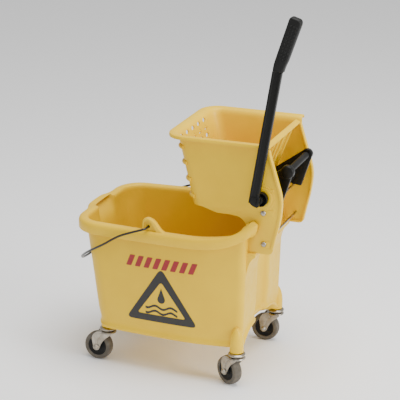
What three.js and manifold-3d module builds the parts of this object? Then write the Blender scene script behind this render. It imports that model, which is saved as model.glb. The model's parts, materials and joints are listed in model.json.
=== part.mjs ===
// A wheeled mop bucket with a lift-off side-press wringer.
// Units are millimetres, +Z is up, +X runs from the pouring spout to the wringer end, and -Y is the front.
// The frame's origin is on the floor under the middle of the whole object.
import * as THREE from "three";
import { mergeVertices } from "three/addons/utils/BufferGeometryUtils.js";
import Module from "manifold-3d";

const wasm = await Module();
wasm.setup();

// ---- Driving dimensions -------------------------------------------------------------------------

// The whole object, measured from the middle of the four casters.
const CENTRE_X = 27.3;
const GAP = 0.3;

// Bucket.
const WALL = 4;
const FLOOR_Z = 105;
const RIM_BOTTOM_Z = 371;
const RIM_TOP_Z = 401;
const RIM_RISE = 50;
const RISE_START_X = 50;
const RISE_LENGTH = 180;
const END_WALL_X = 205;
const END_WALL_TOP_Z = 415;
const SHELF_Z = 361;
const SPOUT_WIDTH = 104;
const OUTLINE_STEPS = 4;

// Bail, a wire hung in two ears on the rim.
const BAIL_PIVOT = { x: -44, z: 412 };
const BAIL_WIRE = 6;
const BAIL_HALF_WIDTH = 199;
const EAR_INNER_Y = 168;
const EAR_OUTER_Y = 180;

// Casters.
const WHEEL_RADIUS = 38;
const TYRE_WIDTH = 24;
const TRAIL = 28;
const POST_RADIUS = 18;
const POST_BOTTOM_Z = 97;
const POST_TOP_Z = 147;
const SOCKET_RADIUS = 6;
const AXLE_RADIUS = 4;
const CASTERS = [
  { name: "front_left", x: -186, y: -120, trail: 178 },
  { name: "rear_left", x: -186, y: 120, trail: 200 },
  { name: "front_right", x: 186, y: -155, trail: 150 },
  { name: "rear_right", x: 186, y: 155, trail: 180 },
];

// Wringer: two side frames with a perforated basket between them.
const FRAME_Y = 131;
const PLATE = 4;
const MOUTH_Z = 645;
const LIP = 16;
const BASKET_HALF = FRAME_Y - PLATE - GAP;
const HINGE = { x: 176, z: 463 };
const HINGE_ROD_RADIUS = 4;
const SHAFT = { x: 240, z: 508 };
const SHAFT_RADIUS = 13;
const BUSH_RADIUS = 17;
const BOSS_INNER_Y = 124;
const BOSS_OUTER_Y = 134;
const TIE_RODS = { upper: { x: 244, z: 469 }, lower: { x: 246, z: 388 } };
const TIE_ROD_RADIUS = 3;

// Crank and press plate.
const CAM_Y = 78;
const CAM_THICKNESS = 10;
const CRANK_PIN = { x: 49, z: 58 };
const CRANK_PIN_RADIUS = 5;
const ROLLER_RADIUS = 10;
const PRESS_TOP = { x: 246, z: 640 };
const PRESS_HALF = 122;

// Lever.
const LEVER_Y = -159;
const LEVER_THICKNESS = 14;
const LEVER_FOOT = { x: 231.5, z: 496 };
const FOOT_RADIUS = 14;
const BAR_HALF = 11;
const GRIP_BOTTOM = { x: 285, z: 838 };

// ---- Materials ----------------------------------------------------------------------------------

function finish(color, roughness, metalness) {
  return new THREE.MeshStandardMaterial({ color, roughness, metalness });
}

const YELLOW = finish(0xe0b428, 0.5, 0);
const BLACK = finish(0x26262a, 0.5, 0);
const ZINC = finish(0xb4b0a4, 0.35, 0.9);
const WIRE = finish(0x303034, 0.4, 0.8);
const RUBBER = finish(0x78736a, 0.8, 0);

// ---- Solids -------------------------------------------------------------------------------------

function toSolid(geometry) {
  const bare = geometry.clone();
  bare.deleteAttribute("normal");
  bare.deleteAttribute("uv");
  const merged = mergeVertices(bare, 1e-3);
  return new wasm.Manifold(
    new wasm.Mesh({
      numProp: 3,
      vertProperties: merged.attributes.position.array,
      triVerts: new Uint32Array(merged.index.array),
    }),
  );
}

function toGeometry(solid) {
  const mesh = solid.getMesh();
  const geometry = new THREE.BufferGeometry();
  geometry.setAttribute("position", new THREE.BufferAttribute(mesh.vertProperties, 3));
  geometry.setIndex(new THREE.BufferAttribute(mesh.triVerts, 1));
  return geometry;
}

function join(...geometries) {
  return toGeometry(geometries.map(toSolid).reduce((a, b) => a.add(b)));
}

function cut(geometry, ...tools) {
  return toGeometry(tools.map(toSolid).reduce((a, b) => a.subtract(b), toSolid(geometry)));
}

function box(x0, x1, y0, y1, z0, z1) {
  const geometry = new THREE.BoxGeometry(x1 - x0, y1 - y0, z1 - z0);
  return geometry.translate((x0 + x1) / 2, (y0 + y1) / 2, (z0 + z1) / 2);
}

// A shape drawn in X and Z, extruded from y0 to y1.
function extrudeY(shape, y0, y1, curveSegments = 6) {
  const geometry = new THREE.ExtrudeGeometry(shape, {
    depth: y1 - y0,
    bevelEnabled: false,
    curveSegments,
  });
  return geometry.rotateX(Math.PI / 2).translate(0, y1, 0);
}

function extrudeZ(shape, z0, z1, steps = 1) {
  const geometry = new THREE.ExtrudeGeometry(shape, {
    depth: z1 - z0,
    bevelEnabled: false,
    steps,
  });
  return geometry.translate(0, 0, z0);
}

function rodY(x, z, radius, y0, y1, sides = 16) {
  const geometry = new THREE.CylinderGeometry(radius, radius, y1 - y0, sides);
  return geometry.translate(x, (y0 + y1) / 2, z);
}

function tubeY(x, z, outer, inner, y0, y1, sides = 20) {
  return cut(rodY(x, z, outer, y0, y1, sides), rodY(x, z, inner, y0 - 1, y1 + 1, sides));
}

function span(a, b) {
  return [Math.min(a, b), Math.max(a, b)];
}

function polygon(points) {
  return new THREE.Shape(points.map(([x, y]) => new THREE.Vector2(x, y)));
}

// A closed loop from the half outline with y below zero, mirrored across the X axis.
function mirroredLoop(half) {
  const inner = half.slice(1, -1).reverse();
  const mirrored = inner.map((p) => new THREE.Vector2(p.x, -p.y));
  return [...half, ...mirrored];
}

// Each point of a loop moved inwards along the loop's normal.
function inset(loop, distance) {
  const count = loop.length;
  return loop.map((point, i) => {
    const before = loop[(i + count - 1) % count];
    const after = loop[(i + 1) % count];
    const along = after.clone().sub(before).normalize();
    return new THREE.Vector2(point.x - along.y * distance, point.y + along.x * distance);
  });
}

function ring(outer, inner) {
  const shape = new THREE.Shape(outer);
  shape.holes.push(new THREE.Path(inner));
  return shape;
}

function warp(geometry, move) {
  const position = geometry.attributes.position;
  const point = new THREE.Vector3();
  for (let i = 0; i < position.count; i += 1) {
    point.fromBufferAttribute(position, i);
    move(point);
    position.setXYZ(i, point.x, point.y, point.z);
  }
  return geometry;
}

// ---- Bucket -------------------------------------------------------------------------------------

// Half of the body's outline at the height of the rim, from the spout to the wringer end's groove.
function bodyHalf() {
  const path = new THREE.Path();
  path.moveTo(-241, 0);
  path.lineTo(-241, -105);
  path.absarc(-188, -105, 53, Math.PI, 1.5 * Math.PI, false);
  path.splineThru([
    new THREE.Vector2(-60, -166),
    new THREE.Vector2(60, -169),
    new THREE.Vector2(120, -165),
    new THREE.Vector2(184, -156),
  ]);
  path.quadraticCurveTo(END_WALL_X, -153, END_WALL_X, -134);
  path.lineTo(END_WALL_X, -54);
  path.quadraticCurveTo(END_WALL_X, -44, 197, -38);
  path.quadraticCurveTo(187, -30, 186, 0);
  return path.getPoints(OUTLINE_STEPS);
}

// Half of the rolled rim's outline, with the pouring spout standing out at the left.
function rimHalf() {
  const path = new THREE.Path();
  path.moveTo(-277, 0);
  path.lineTo(-275, -40);
  path.bezierCurveTo(-272, -56, -264, -56, -263, -76);
  path.lineTo(-263, -105);
  path.absarc(-188, -105, 75, Math.PI, 1.5 * Math.PI, false);
  path.splineThru([
    new THREE.Vector2(-60, -188),
    new THREE.Vector2(60, -191),
    new THREE.Vector2(120, -186),
    new THREE.Vector2(168, -176),
  ]);
  path.quadraticCurveTo(222, -160, 234, -128);
  path.lineTo(234, 0);
  return path.getPoints(OUTLINE_STEPS);
}

// The rim sweeps up towards the wringer end.
function rise(x) {
  const along = THREE.MathUtils.clamp((x - RISE_START_X) / RISE_LENGTH, 0, 1);
  return RIM_RISE * along ** 2.2;
}

// The body is narrower at the floor than at the rim.
function taper(point) {
  const up = THREE.MathUtils.clamp((point.z - FLOOR_Z) / (RIM_BOTTOM_Z - FLOOR_Z), 0, 1);
  const lift = THREE.MathUtils.smoothstep(point.z, 260, RIM_BOTTOM_Z);
  point.z += rise(point.x) * lift;
  point.x *= point.x < 0 ? 0.86 + 0.14 * up : 0.956 + 0.044 * up;
  point.y *= 0.98 + 0.02 * up;
}

function lift(point) {
  point.z += rise(point.x);
}

// A rounded hump on the rim with a hole for the bail, long and low towards the wringer.
function bailEar(side) {
  const shape = new THREE.Shape();
  shape.moveTo(-58, 396);
  shape.lineTo(-58, 418);
  shape.quadraticCurveTo(-57, 434, -43, 434);
  shape.quadraticCurveTo(-28, 432, -2, 396);
  return extrudeY(shape, ...span(side * EAR_INNER_Y, side * EAR_OUTER_Y));
}

// The ledge on the end wall that one leg of the wringer stands on.
function wringerShelf(side) {
  const shape = new THREE.Shape();
  shape.moveTo(200.5, SHELF_Z - 68);
  shape.quadraticCurveTo(206, SHELF_Z - 23, 226, SHELF_Z - 11);
  shape.lineTo(226, SHELF_Z);
  shape.lineTo(200.5, SHELF_Z);
  return extrudeY(shape, ...span(side * 52, side * 136));
}

// A post under a corner of the body, cut off inside the thickness of the wall.
function casterPost(caster, cavity) {
  const post = latheZ([
    [0, POST_BOTTOM_Z],
    [POST_RADIUS, POST_BOTTOM_Z],
    [POST_RADIUS, POST_TOP_Z - 11],
    [12, POST_TOP_Z - 3],
    [0, POST_TOP_Z],
  ], 20);
  return cut(post.translate(caster.x, caster.y, 0), cavity);
}

// The closed end of a post's socket, standing up inside the bucket.
function socketBoss(caster) {
  const boss = latheZ([
    [0, FLOOR_Z + 1.5],
    [13, FLOOR_Z + 1.5],
    [13, POST_TOP_Z - 9],
    [9, POST_TOP_Z - 2],
    [0, POST_TOP_Z + 1],
  ], 20);
  return boss.translate(caster.x, caster.y, 0);
}

function bucketShell() {
  const body = mirroredLoop(bodyHalf());
  const inside = inset(body, WALL);
  const middle = inset(body, WALL / 2);
  const walls = warp(extrudeZ(ring(body, inside), FLOOR_Z, RIM_TOP_Z, 4), taper);
  const floor = warp(extrudeZ(new THREE.Shape(middle), FLOOR_Z, FLOOR_Z + WALL), taper);
  const rim = ring(mirroredLoop(rimHalf()), middle);
  const rimRing = warp(extrudeZ(rim, RIM_BOTTOM_Z, RIM_TOP_Z - GAP), lift);
  const cavity = warp(extrudeZ(new THREE.Shape(middle), FLOOR_Z + WALL / 2, 250, 2), taper);
  const posts = CASTERS.map((caster) => casterPost(caster, cavity));
  const spoutChannel = extrudeY(
    polygon([[-271, 403], [-236, 362], [-200, 362], [-200, 403]]),
    -SPOUT_WIDTH / 2, SPOUT_WIDTH / 2,
  );
  const legRoom = box(END_WALL_X + 0.5, 300, -FRAME_Y - 2, FRAME_Y + 2, SHELF_Z + 5, 500);
  const overWall = box(150, 300, -FRAME_Y - 2, FRAME_Y + 2, END_WALL_TOP_Z, 500);
  const holes = [-1, 1].map((side) =>
    rodY(BAIL_PIVOT.x, BAIL_PIVOT.z, BAIL_WIRE / 2 + 1, side * 175 - 12, side * 175 + 12, 12));
  const sockets = CASTERS.map((caster) =>
    new THREE.CylinderGeometry(SOCKET_RADIUS, SOCKET_RADIUS, 40, 12).rotateX(Math.PI / 2)
      .translate(caster.x, caster.y, POST_BOTTOM_Z + 19));
  const whole = join(walls, floor, rimRing, wringerShelf(-1), wringerShelf(1), ...posts);
  const hollow = cut(whole, spoutChannel, legRoom, overWall);
  const bosses = CASTERS.map(socketBoss);
  return cut(join(hollow, bailEar(-1), bailEar(1), ...bosses), ...holes, ...sockets);
}

// ---- Bail ---------------------------------------------------------------------------------------

// The wire leaves each ear outwards, runs down beside the rim and dips under the spout.
function bailWire() {
  const half = [
    [BAIL_PIVOT.x, EAR_INNER_Y - 7, BAIL_PIVOT.z],
    [BAIL_PIVOT.x, EAR_OUTER_Y + 10, BAIL_PIVOT.z],
    [-50, BAIL_HALF_WIDTH, 410],
    [-81, BAIL_HALF_WIDTH + 1, 399],
    [-118, BAIL_HALF_WIDTH + 1, 383],
    [-161, 194, 355],
    [-214, 170, 320],
    [-258, 116, 283],
    [-280, 62, 257],
    [-287, 0, 247],
  ];
  const front = half.map(([x, y, z]) => new THREE.Vector3(x, -y, z));
  const back = half.slice(0, -1).reverse().map(([x, y, z]) => new THREE.Vector3(x, y, z));
  const curve = new THREE.CatmullRomCurve3([...front, ...back], false, "centripetal");
  const section = new THREE.Shape();
  section.absarc(0, 0, BAIL_WIRE / 2, 0, 2 * Math.PI, false);
  return new THREE.ExtrudeGeometry(section, { steps: 72, curveSegments: 4, extrudePath: curve });
}

// ---- Casters ------------------------------------------------------------------------------------

const CROWN_TOP_Z = POST_BOTTOM_Z - 12;
const LEG_INNER = TYRE_WIDTH / 2 + 3;
const LEG_OUTER = LEG_INNER + 3;

function latheZ(points, sides) {
  const profile = points.map(([radius, z]) => new THREE.Vector2(radius, z));
  return new THREE.LatheGeometry(profile, sides).rotateX(Math.PI / 2);
}

function latheY(points, sides) {
  const profile = points.map(([radius, y]) => new THREE.Vector2(radius, y));
  return new THREE.LatheGeometry(profile, sides);
}

// The stem in the post and the upper ball race that the fork turns in.
function casterStem() {
  return latheZ([
    [0, CROWN_TOP_Z + 2],
    [12, CROWN_TOP_Z + 2],
    [21, CROWN_TOP_Z + 5],
    [21, POST_BOTTOM_Z - 3],
    [17, POST_BOTTOM_Z - GAP],
    [5.5, POST_BOTTOM_Z - GAP],
    [5.5, POST_BOTTOM_Z + 34],
    [0, POST_BOTTOM_Z + 34],
  ], 16);
}

// A pressed fork: a crown under the race and two legs that narrow down to the axle.
function casterFork() {
  const crown = latheZ([
    [0, 80],
    [19, 80],
    [20, 82],
    [15, CROWN_TOP_Z + 1],
    [0, CROWN_TOP_Z + 1],
  ], 20);
  const leg = new THREE.Shape();
  leg.moveTo(17, 83);
  leg.lineTo(-19, 83);
  leg.lineTo(-TRAIL - 9, WHEEL_RADIUS + 3);
  leg.absarc(-TRAIL, WHEEL_RADIUS, 9, Math.PI - 0.3, 2 * Math.PI - 0.5, false);
  const near = extrudeY(leg, -LEG_OUTER, -LEG_INNER, 4);
  const far = extrudeY(leg, LEG_INNER, LEG_OUTER, 4);
  const bridge = box(-19, 17, -LEG_OUTER, LEG_OUTER, 80, 83);
  const bore = rodY(-TRAIL, WHEEL_RADIUS, AXLE_RADIUS + GAP, -30, 30, 12);
  return cut(join(crown, near, far, bridge), bore);
}

// Bolt head, shank and nut through both legs.
function casterAxle() {
  const head = 7;
  const end = LEG_OUTER + GAP;
  return latheY([
    [0, -end - 5],
    [head, -end - 5],
    [head, -end],
    [AXLE_RADIUS, -end],
    [AXLE_RADIUS, end],
    [head, end],
    [head, end + 5],
    [0, end + 5],
  ], 12).translate(-TRAIL, 0, WHEEL_RADIUS);
}

function wheelHub() {
  const half = TYRE_WIDTH / 2;
  const bore = AXLE_RADIUS + GAP;
  return latheY([
    [bore, -half - 2],
    [10, -half - 2],
    [12, -half + 3],
    [21, -half + 3],
    [26, -half],
    [26, half],
    [21, half - 3],
    [12, half - 3],
    [10, half + 2],
    [bore, half + 2],
    [bore, -half - 2],
  ], 18).translate(-TRAIL, 0, WHEEL_RADIUS);
}

function tyre() {
  const half = TYRE_WIDTH / 2;
  const seat = 26 + GAP;
  return latheY([
    [seat, -half],
    [33, -half],
    [WHEEL_RADIUS - 1, -half + 5],
    [WHEEL_RADIUS, 0],
    [WHEEL_RADIUS - 1, half - 5],
    [33, half],
    [seat, half],
    [seat, -half],
  ], 28).translate(-TRAIL, 0, WHEEL_RADIUS);
}

// ---- Wringer ------------------------------------------------------------------------------------

// The side frame's outline: hopper side, curved foot of the hopper, and the leg outside the bucket.
function sideOutline() {
  const shape = new THREE.Shape();
  shape.moveTo(18, MOUTH_Z);
  shape.lineTo(66, 447);
  shape.lineTo(160, 457);
  shape.quadraticCurveTo(206, 456, 207, 400);
  shape.lineTo(207, SHELF_Z + GAP);
  shape.lineTo(256, SHELF_Z + GAP);
  shape.quadraticCurveTo(272, SHELF_Z + GAP, 272, 370);
  shape.splineThru([
    new THREE.Vector2(274, 416),
    new THREE.Vector2(281, 450),
    new THREE.Vector2(292, 495),
    new THREE.Vector2(291, 525),
    new THREE.Vector2(279, 568),
    new THREE.Vector2(265, 602),
  ]);
  shape.lineTo(262, MOUTH_Z);
  return shape;
}

// The inward flange that follows the frame's right-hand edge and foot.
function sideFlange(outline) {
  const points = outline.getPoints(6);
  const loop = inset(points, PLATE);
  return ring(points, loop);
}

function pocket() {
  const shape = new THREE.Shape();
  shape.moveTo(246, 612);
  shape.lineTo(256, 612);
  shape.lineTo(262, 590);
  shape.lineTo(276, 552);
  shape.lineTo(276, 542);
  shape.lineTo(246, 540);
  return shape;
}

// One side of the wringer. side is -1 for the front and 1 for the back.
function sideFrame(side) {
  const outer = side * FRAME_Y;
  const inner = side * (FRAME_Y - PLATE);
  const deep = side * (FRAME_Y - 24);
  const outline = sideOutline();
  const plate = extrudeY(outline, ...span(outer, inner));
  const edge = extrudeY(sideFlange(outline), ...span(outer, deep));
  const boss = rodY(SHAFT.x, SHAFT.z, 26, ...span(side * BOSS_OUTER_Y, side * BOSS_INNER_Y), 28);
  const lip = mouthLip(side);
  const hopperRoom = box(0, 257.5, ...span(inner, side * 60), 430, 660);
  const legRoom = box(200, 213, ...span(inner, side * 60), 340, 475);
  const rods = Object.values(TIE_RODS).map((rod) =>
    rodY(rod.x, rod.z, TIE_ROD_RADIUS + GAP, ...span(outer + side * 5, side * 90), 12));
  const hinge = rodY(HINGE.x, HINGE.z, HINGE_ROD_RADIUS + GAP, ...span(outer + side * 5, side * 90), 12);
  const bore = rodY(SHAFT.x, SHAFT.z, BUSH_RADIUS + GAP, ...span(outer + side * 8, side * 90), 28);
  const relief = extrudeY(pocket(), ...span(outer + side, outer - side * 2));
  const flange = cut(edge, hopperRoom, legRoom);
  const bare = cut(join(plate, flange), relief);
  return cut(join(bare, boss, lip), ...rods, hinge, bore);
}

// The flared lip along the mouth, drawn in Y and Z and run along X.
function mouthLip(side) {
  const section = polygon([
    [side * (FRAME_Y - 1), 616],
    [side * (FRAME_Y + LIP), MOUTH_Z - 5],
    [side * (FRAME_Y + LIP), MOUTH_Z],
    [side * (FRAME_Y - 1), MOUTH_Z - 22],
  ]);
  const length = 236;
  const lip = new THREE.ExtrudeGeometry(section, { depth: length, bevelEnabled: false });
  return lip.rotateX(Math.PI / 2).rotateZ(Math.PI / 2).translate(14, 0, 0);
}

// A strip of sheet of even thickness below a line of points in X and Z.
function strip(points, thickness) {
  const line = points.map(([x, z]) => new THREE.Vector2(x, z));
  const under = line.map((point, i) => {
    const before = line[Math.max(i - 1, 0)];
    const after = line[Math.min(i + 1, line.length - 1)];
    const along = after.clone().sub(before).normalize();
    return new THREE.Vector2(point.x + along.y * thickness, point.y - along.x * thickness);
  });
  return new THREE.Shape([...line, ...under.reverse()]);
}

// The hopper's slanting left wall, its floor, and the web that hooks over the bucket's end wall.
function drainBasket() {
  const profile = strip([
    [20, MOUTH_Z],
    [64, 462],
    [74, 452],
    [158, 452],
    [196, 447],
    [209, 434],
    [212, 368],
  ], PLATE);
  const sheet = extrudeY(profile, -BASKET_HALF, BASKET_HALF);
  const lip = extrudeY(
    polygon([[21, 616], [20, MOUTH_Z - 16], [-4, MOUTH_Z], [-8, MOUTH_Z], [-8, MOUTH_Z - 5], [16, 622]]),
    -BASKET_HALF, BASKET_HALF,
  );
  const bead = (z) => {
    const x = 20 + (MOUTH_Z - z) * 0.2404;
    return extrudeY(
      polygon([[x, z + 5], [x - 5, z + 2], [x - 5, z - 2], [x, z - 5], [x + 3, z]]),
      -BASKET_HALF, BASKET_HALF,
    );
  };
  const beads = [590, 545, 500, 462].map(bead);
  return cut(join(sheet, lip, ...beads), ...wallHoles(), ...floorSlots());
}

function wallHoles() {
  const rows = 5;
  const columns = 7;
  const holes = [];
  for (let row = 0; row < rows; row += 1) {
    for (let column = 0; column < columns; column += 1) {
      const y = (column - (columns - 1) / 2) * 32;
      const z = 612 - row * 22;
      const hole = new THREE.CylinderGeometry(5, 5, 40, 8).rotateZ(Math.PI / 2);
      holes.push(hole.translate(26 + (MOUTH_Z - z) * 0.24, y, z));
    }
  }
  return holes;
}

function floorSlots() {
  return [-90, -60, -30, 0, 30, 60, 90].map((y) => box(82, 150, y - 4, y + 4, 440, 460));
}

// A through rod with a round head at the front and a nut at the back.
function tieRod(at) {
  const end = FRAME_Y + GAP;
  return latheY([
    [0, -end - 4],
    [6, -end - 4],
    [7.5, -end],
    [TIE_ROD_RADIUS, -end],
    [TIE_ROD_RADIUS, end],
    [6.5, end],
    [6.5, end + 5],
    [0, end + 5],
  ], 12).translate(at.x, 0, at.z);
}

function hingeRod() {
  return rodY(HINGE.x, HINGE.z, HINGE_ROD_RADIUS, -FRAME_Y, FRAME_Y, 12);
}

// A flanged plain bearing between the shaft and one side frame.
function pivotBush(side) {
  const low = side > 0 ? BOSS_INNER_Y : -BOSS_OUTER_Y;
  const high = low + BOSS_OUTER_Y - BOSS_INNER_Y;
  return tubeY(SHAFT.x, SHAFT.z, BUSH_RADIUS, SHAFT_RADIUS + GAP, low, high, 24);
}

// ---- Press plate --------------------------------------------------------------------------------

// A hinged sheet with ribs on its back, a flange along its top and knuckles around the hinge rod.
function pressPlate() {
  const dx = PRESS_TOP.x - HINGE.x;
  const dz = PRESS_TOP.z - HINGE.z;
  const lean = Math.atan2(dx, dz);
  const length = Math.hypot(dx, dz);
  const knuckle = HINGE_ROD_RADIUS + 4;
  const sheet = box(-4, 0, -PRESS_HALF, PRESS_HALF, 0, length);
  const barrel = rodY(0, 0, knuckle, -PRESS_HALF, PRESS_HALF, 16);
  const flange = box(-4, 11, -PRESS_HALF, PRESS_HALF, length - 5, length);
  const rib = new THREE.Shape();
  rib.moveTo(-2, 4);
  rib.lineTo(8, 10);
  rib.lineTo(20, 66);
  rib.lineTo(22, length - 60);
  rib.lineTo(14, length - 1);
  rib.lineTo(-2, length - 1);
  const ribs = [-112, -56, -28, 0, 28, 56, 112].map((y) => extrudeY(rib, y - 2, y + 2));
  const bore = rodY(0, 0, HINGE_ROD_RADIUS + GAP, -200, 200, 12);
  const turned = cut(join(sheet, barrel, flange, ...ribs), bore);
  return turned.rotateY(lean).translate(HINGE.x, 0, HINGE.z);
}

// ---- Lever and crank ----------------------------------------------------------------------------

// The bar, its rounded foot and the round hub on the end of the shaft.
function leverArm() {
  const shape = polygon([
    [LEVER_FOOT.x - BAR_HALF, LEVER_FOOT.z],
    [GRIP_BOTTOM.x - BAR_HALF, GRIP_BOTTOM.z - GAP],
    [GRIP_BOTTOM.x + BAR_HALF, GRIP_BOTTOM.z - GAP],
    [LEVER_FOOT.x + BAR_HALF, LEVER_FOOT.z],
  ]);
  const near = LEVER_Y - LEVER_THICKNESS / 2;
  const far = LEVER_Y + LEVER_THICKNESS / 2;
  const bar = extrudeY(shape, near, far);
  const foot = rodY(LEVER_FOOT.x, LEVER_FOOT.z, FOOT_RADIUS, near, far, 24);
  const hub = rodY(SHAFT.x, SHAFT.z, 24, LEVER_Y - 4, LEVER_Y + 12, 28);
  const tang = extrudeY(
    polygon([[279, 830], [292, 830], [294, 846], [327, 950], [318, 953], [281, 842]]),
    LEVER_Y - 4, LEVER_Y + 4,
  );
  const hollow = rodY(SHAFT.x, SHAFT.z, SHAFT_RADIUS + GAP, LEVER_Y, LEVER_Y + 40, 24);
  return cut(join(bar, foot, hub, tang), hollow);
}

// The moulded grip, pushed over the lever's tang.
function leverGrip() {
  const shape = new THREE.Shape();
  shape.moveTo(273, GRIP_BOTTOM.z);
  shape.quadraticCurveTo(274, 856, 281, 872);
  shape.lineTo(311, 964);
  shape.quadraticCurveTo(316, 977, 330, 974);
  shape.quadraticCurveTo(347, 970, 344, 956);
  shape.lineTo(311, 862);
  shape.quadraticCurveTo(303, 846, 300, GRIP_BOTTOM.z);
  const grip = extrudeY(shape, LEVER_Y - 11, LEVER_Y + 11);
  const socket = extrudeY(
    polygon([[277.5, 830], [293.5, 830], [295.5, 845.5], [328.5, 951], [317.5, 954.5], [279.5, 842.5]]),
    LEVER_Y - 4 - GAP, LEVER_Y + 4 + GAP,
  );
  return cut(grip, socket);
}

// The hollow cross shaft, from the lever's hub to the far side frame.
function crankShaft() {
  return tubeY(SHAFT.x, SHAFT.z, SHAFT_RADIUS, SHAFT_RADIUS - 4, LEVER_Y + GAP, FRAME_Y + 12, 20);
}

// A triangular cam plate on the shaft. Its upper boss holds one end of the crank pin.
function crankCam(side) {
  const shape = new THREE.Shape();
  shape.moveTo(-36, 10);
  shape.lineTo(CRANK_PIN.x - 8, CRANK_PIN.z + 12);
  shape.absarc(CRANK_PIN.x, CRANK_PIN.z, 14, 2.18, -0.2, true);
  shape.lineTo(38, -34);
  shape.lineTo(26, -38);
  shape.quadraticCurveTo(10, -22, -8, -18);
  shape.lineTo(-28, -4);
  const y = side * CAM_Y;
  const plate = extrudeY(shape, y - CAM_THICKNESS / 2, y + CAM_THICKNESS / 2);
  const collar = rodY(0, 0, SHAFT_RADIUS + 6, y - 9, y + 9, 24);
  const bore = rodY(0, 0, SHAFT_RADIUS + GAP, y - 20, y + 20, 24);
  const pinHole = rodY(CRANK_PIN.x, CRANK_PIN.z, CRANK_PIN_RADIUS + GAP, y - 20, y + 20, 12);
  return cut(join(plate, collar), bore, pinHole).translate(SHAFT.x, 0, SHAFT.z);
}

function crankPin() {
  const end = CAM_Y + CAM_THICKNESS / 2 + GAP;
  return latheY([
    [0, -end - 4],
    [8, -end - 4],
    [8, -end],
    [CRANK_PIN_RADIUS, -end],
    [CRANK_PIN_RADIUS, end],
    [8, end],
    [8, end + 4],
    [0, end + 4],
  ], 12).translate(SHAFT.x + CRANK_PIN.x, 0, SHAFT.z + CRANK_PIN.z);
}

// The roller turns on the crank pin and pushes the ribs on the back of the press plate.
function pressRoller() {
  const x = SHAFT.x + CRANK_PIN.x;
  const z = SHAFT.z + CRANK_PIN.z;
  return tubeY(x, z, ROLLER_RADIUS, CRANK_PIN_RADIUS + GAP, -66, 66, 16);
}

// A retaining ring on the far end of the shaft.
function shaftCollar() {
  return tubeY(SHAFT.x, SHAFT.z, SHAFT_RADIUS + 8, SHAFT_RADIUS + GAP, FRAME_Y + 4, FRAME_Y + 11, 20);
}

// ---- Assembly -----------------------------------------------------------------------------------

const bucket = new THREE.Group();
bucket.position.x = -CENTRE_X;

function add(name, geometry, material, parent = bucket) {
  const mesh = new THREE.Mesh(geometry, material);
  mesh.name = name;
  parent.add(mesh);
  return mesh;
}

add("bucket_shell", bucketShell(), YELLOW);
add("bail_wire", bailWire(), WIRE);

for (const caster of CASTERS) {
  const place = new THREE.Group();
  place.position.set(caster.x, caster.y, 0);
  place.rotation.z = THREE.MathUtils.degToRad(caster.trail - 180);
  bucket.add(place);
  add(`caster_stem_${caster.name}`, casterStem(), ZINC, place);
  add(`caster_fork_${caster.name}`, casterFork(), ZINC, place);
  add(`caster_axle_${caster.name}`, casterAxle(), ZINC, place);
  add(`wheel_hub_${caster.name}`, wheelHub(), BLACK, place);
  add(`tyre_${caster.name}`, tyre(), RUBBER, place);
}

add("side_frame_front", sideFrame(-1), YELLOW);
add("side_frame_rear", sideFrame(1), YELLOW);
add("drain_basket", drainBasket(), YELLOW);
add("tie_rod_upper", tieRod(TIE_RODS.upper), ZINC);
add("tie_rod_lower", tieRod(TIE_RODS.lower), ZINC);
add("hinge_rod", hingeRod(), ZINC);
add("pivot_bush_front", pivotBush(-1), BLACK);
add("pivot_bush_rear", pivotBush(1), BLACK);
add("press_plate", pressPlate(), YELLOW);
add("lever_arm", leverArm(), BLACK);
add("lever_grip", leverGrip(), BLACK);
add("crank_shaft", crankShaft(), BLACK);
add("crank_cam_front", crankCam(-1), BLACK);
add("crank_cam_rear", crankCam(1), BLACK);
add("crank_pin", crankPin(), ZINC);
add("press_roller", pressRoller(), BLACK);
add("shaft_collar", shaftCollar(), BLACK);

const root = new THREE.Group();
root.add(bucket);

export default root;
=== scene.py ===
"""A wheeled mop bucket with a lift-off side-press wringer, finished for close viewing."""

import json
import math

import bmesh
import bpy
from mathutils import Matrix, Vector
from mathutils.bvhtree import BVHTree


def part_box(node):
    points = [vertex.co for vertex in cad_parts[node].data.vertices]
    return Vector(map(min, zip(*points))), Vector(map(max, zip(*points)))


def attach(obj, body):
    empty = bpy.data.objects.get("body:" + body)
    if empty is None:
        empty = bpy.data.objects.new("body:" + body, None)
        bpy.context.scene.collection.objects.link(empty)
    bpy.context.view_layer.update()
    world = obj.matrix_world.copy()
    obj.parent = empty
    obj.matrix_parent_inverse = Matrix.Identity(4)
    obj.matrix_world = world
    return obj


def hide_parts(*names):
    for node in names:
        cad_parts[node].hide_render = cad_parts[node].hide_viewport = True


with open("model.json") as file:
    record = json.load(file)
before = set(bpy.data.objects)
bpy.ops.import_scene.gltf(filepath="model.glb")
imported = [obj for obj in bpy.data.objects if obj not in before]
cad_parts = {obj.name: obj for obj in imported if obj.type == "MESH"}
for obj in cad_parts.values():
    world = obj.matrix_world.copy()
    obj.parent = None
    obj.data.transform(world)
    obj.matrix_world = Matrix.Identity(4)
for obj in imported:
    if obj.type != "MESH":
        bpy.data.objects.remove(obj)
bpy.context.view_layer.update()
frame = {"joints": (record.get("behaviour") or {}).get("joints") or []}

# ---- Measures ------------------------------------------------------------------------------------
# Shapes are drawn in millimetres from the middle of the four casters, with the front at -Y.

MM = 0.001
CORNERS = ("front_left", "rear_left", "front_right", "rear_right")
JOINTS = {joint["name"]: joint for joint in frame["joints"]}


def box_middle(node):
    low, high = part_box(node)
    return (low + high) / 2


MIDDLE_X = sum(box_middle(f"caster_stem_{corner}").x for corner in CORNERS) / 4


def drawn(point):
    """A point of the frame, in drawing millimetres."""
    return Vector(((point[0] - MIDDLE_X) / MM, point[1] / MM, point[2] / MM))


TO_FRAME = Matrix.Translation((MIDDLE_X, 0, 0)) @ Matrix.Scale(MM, 4)

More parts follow.
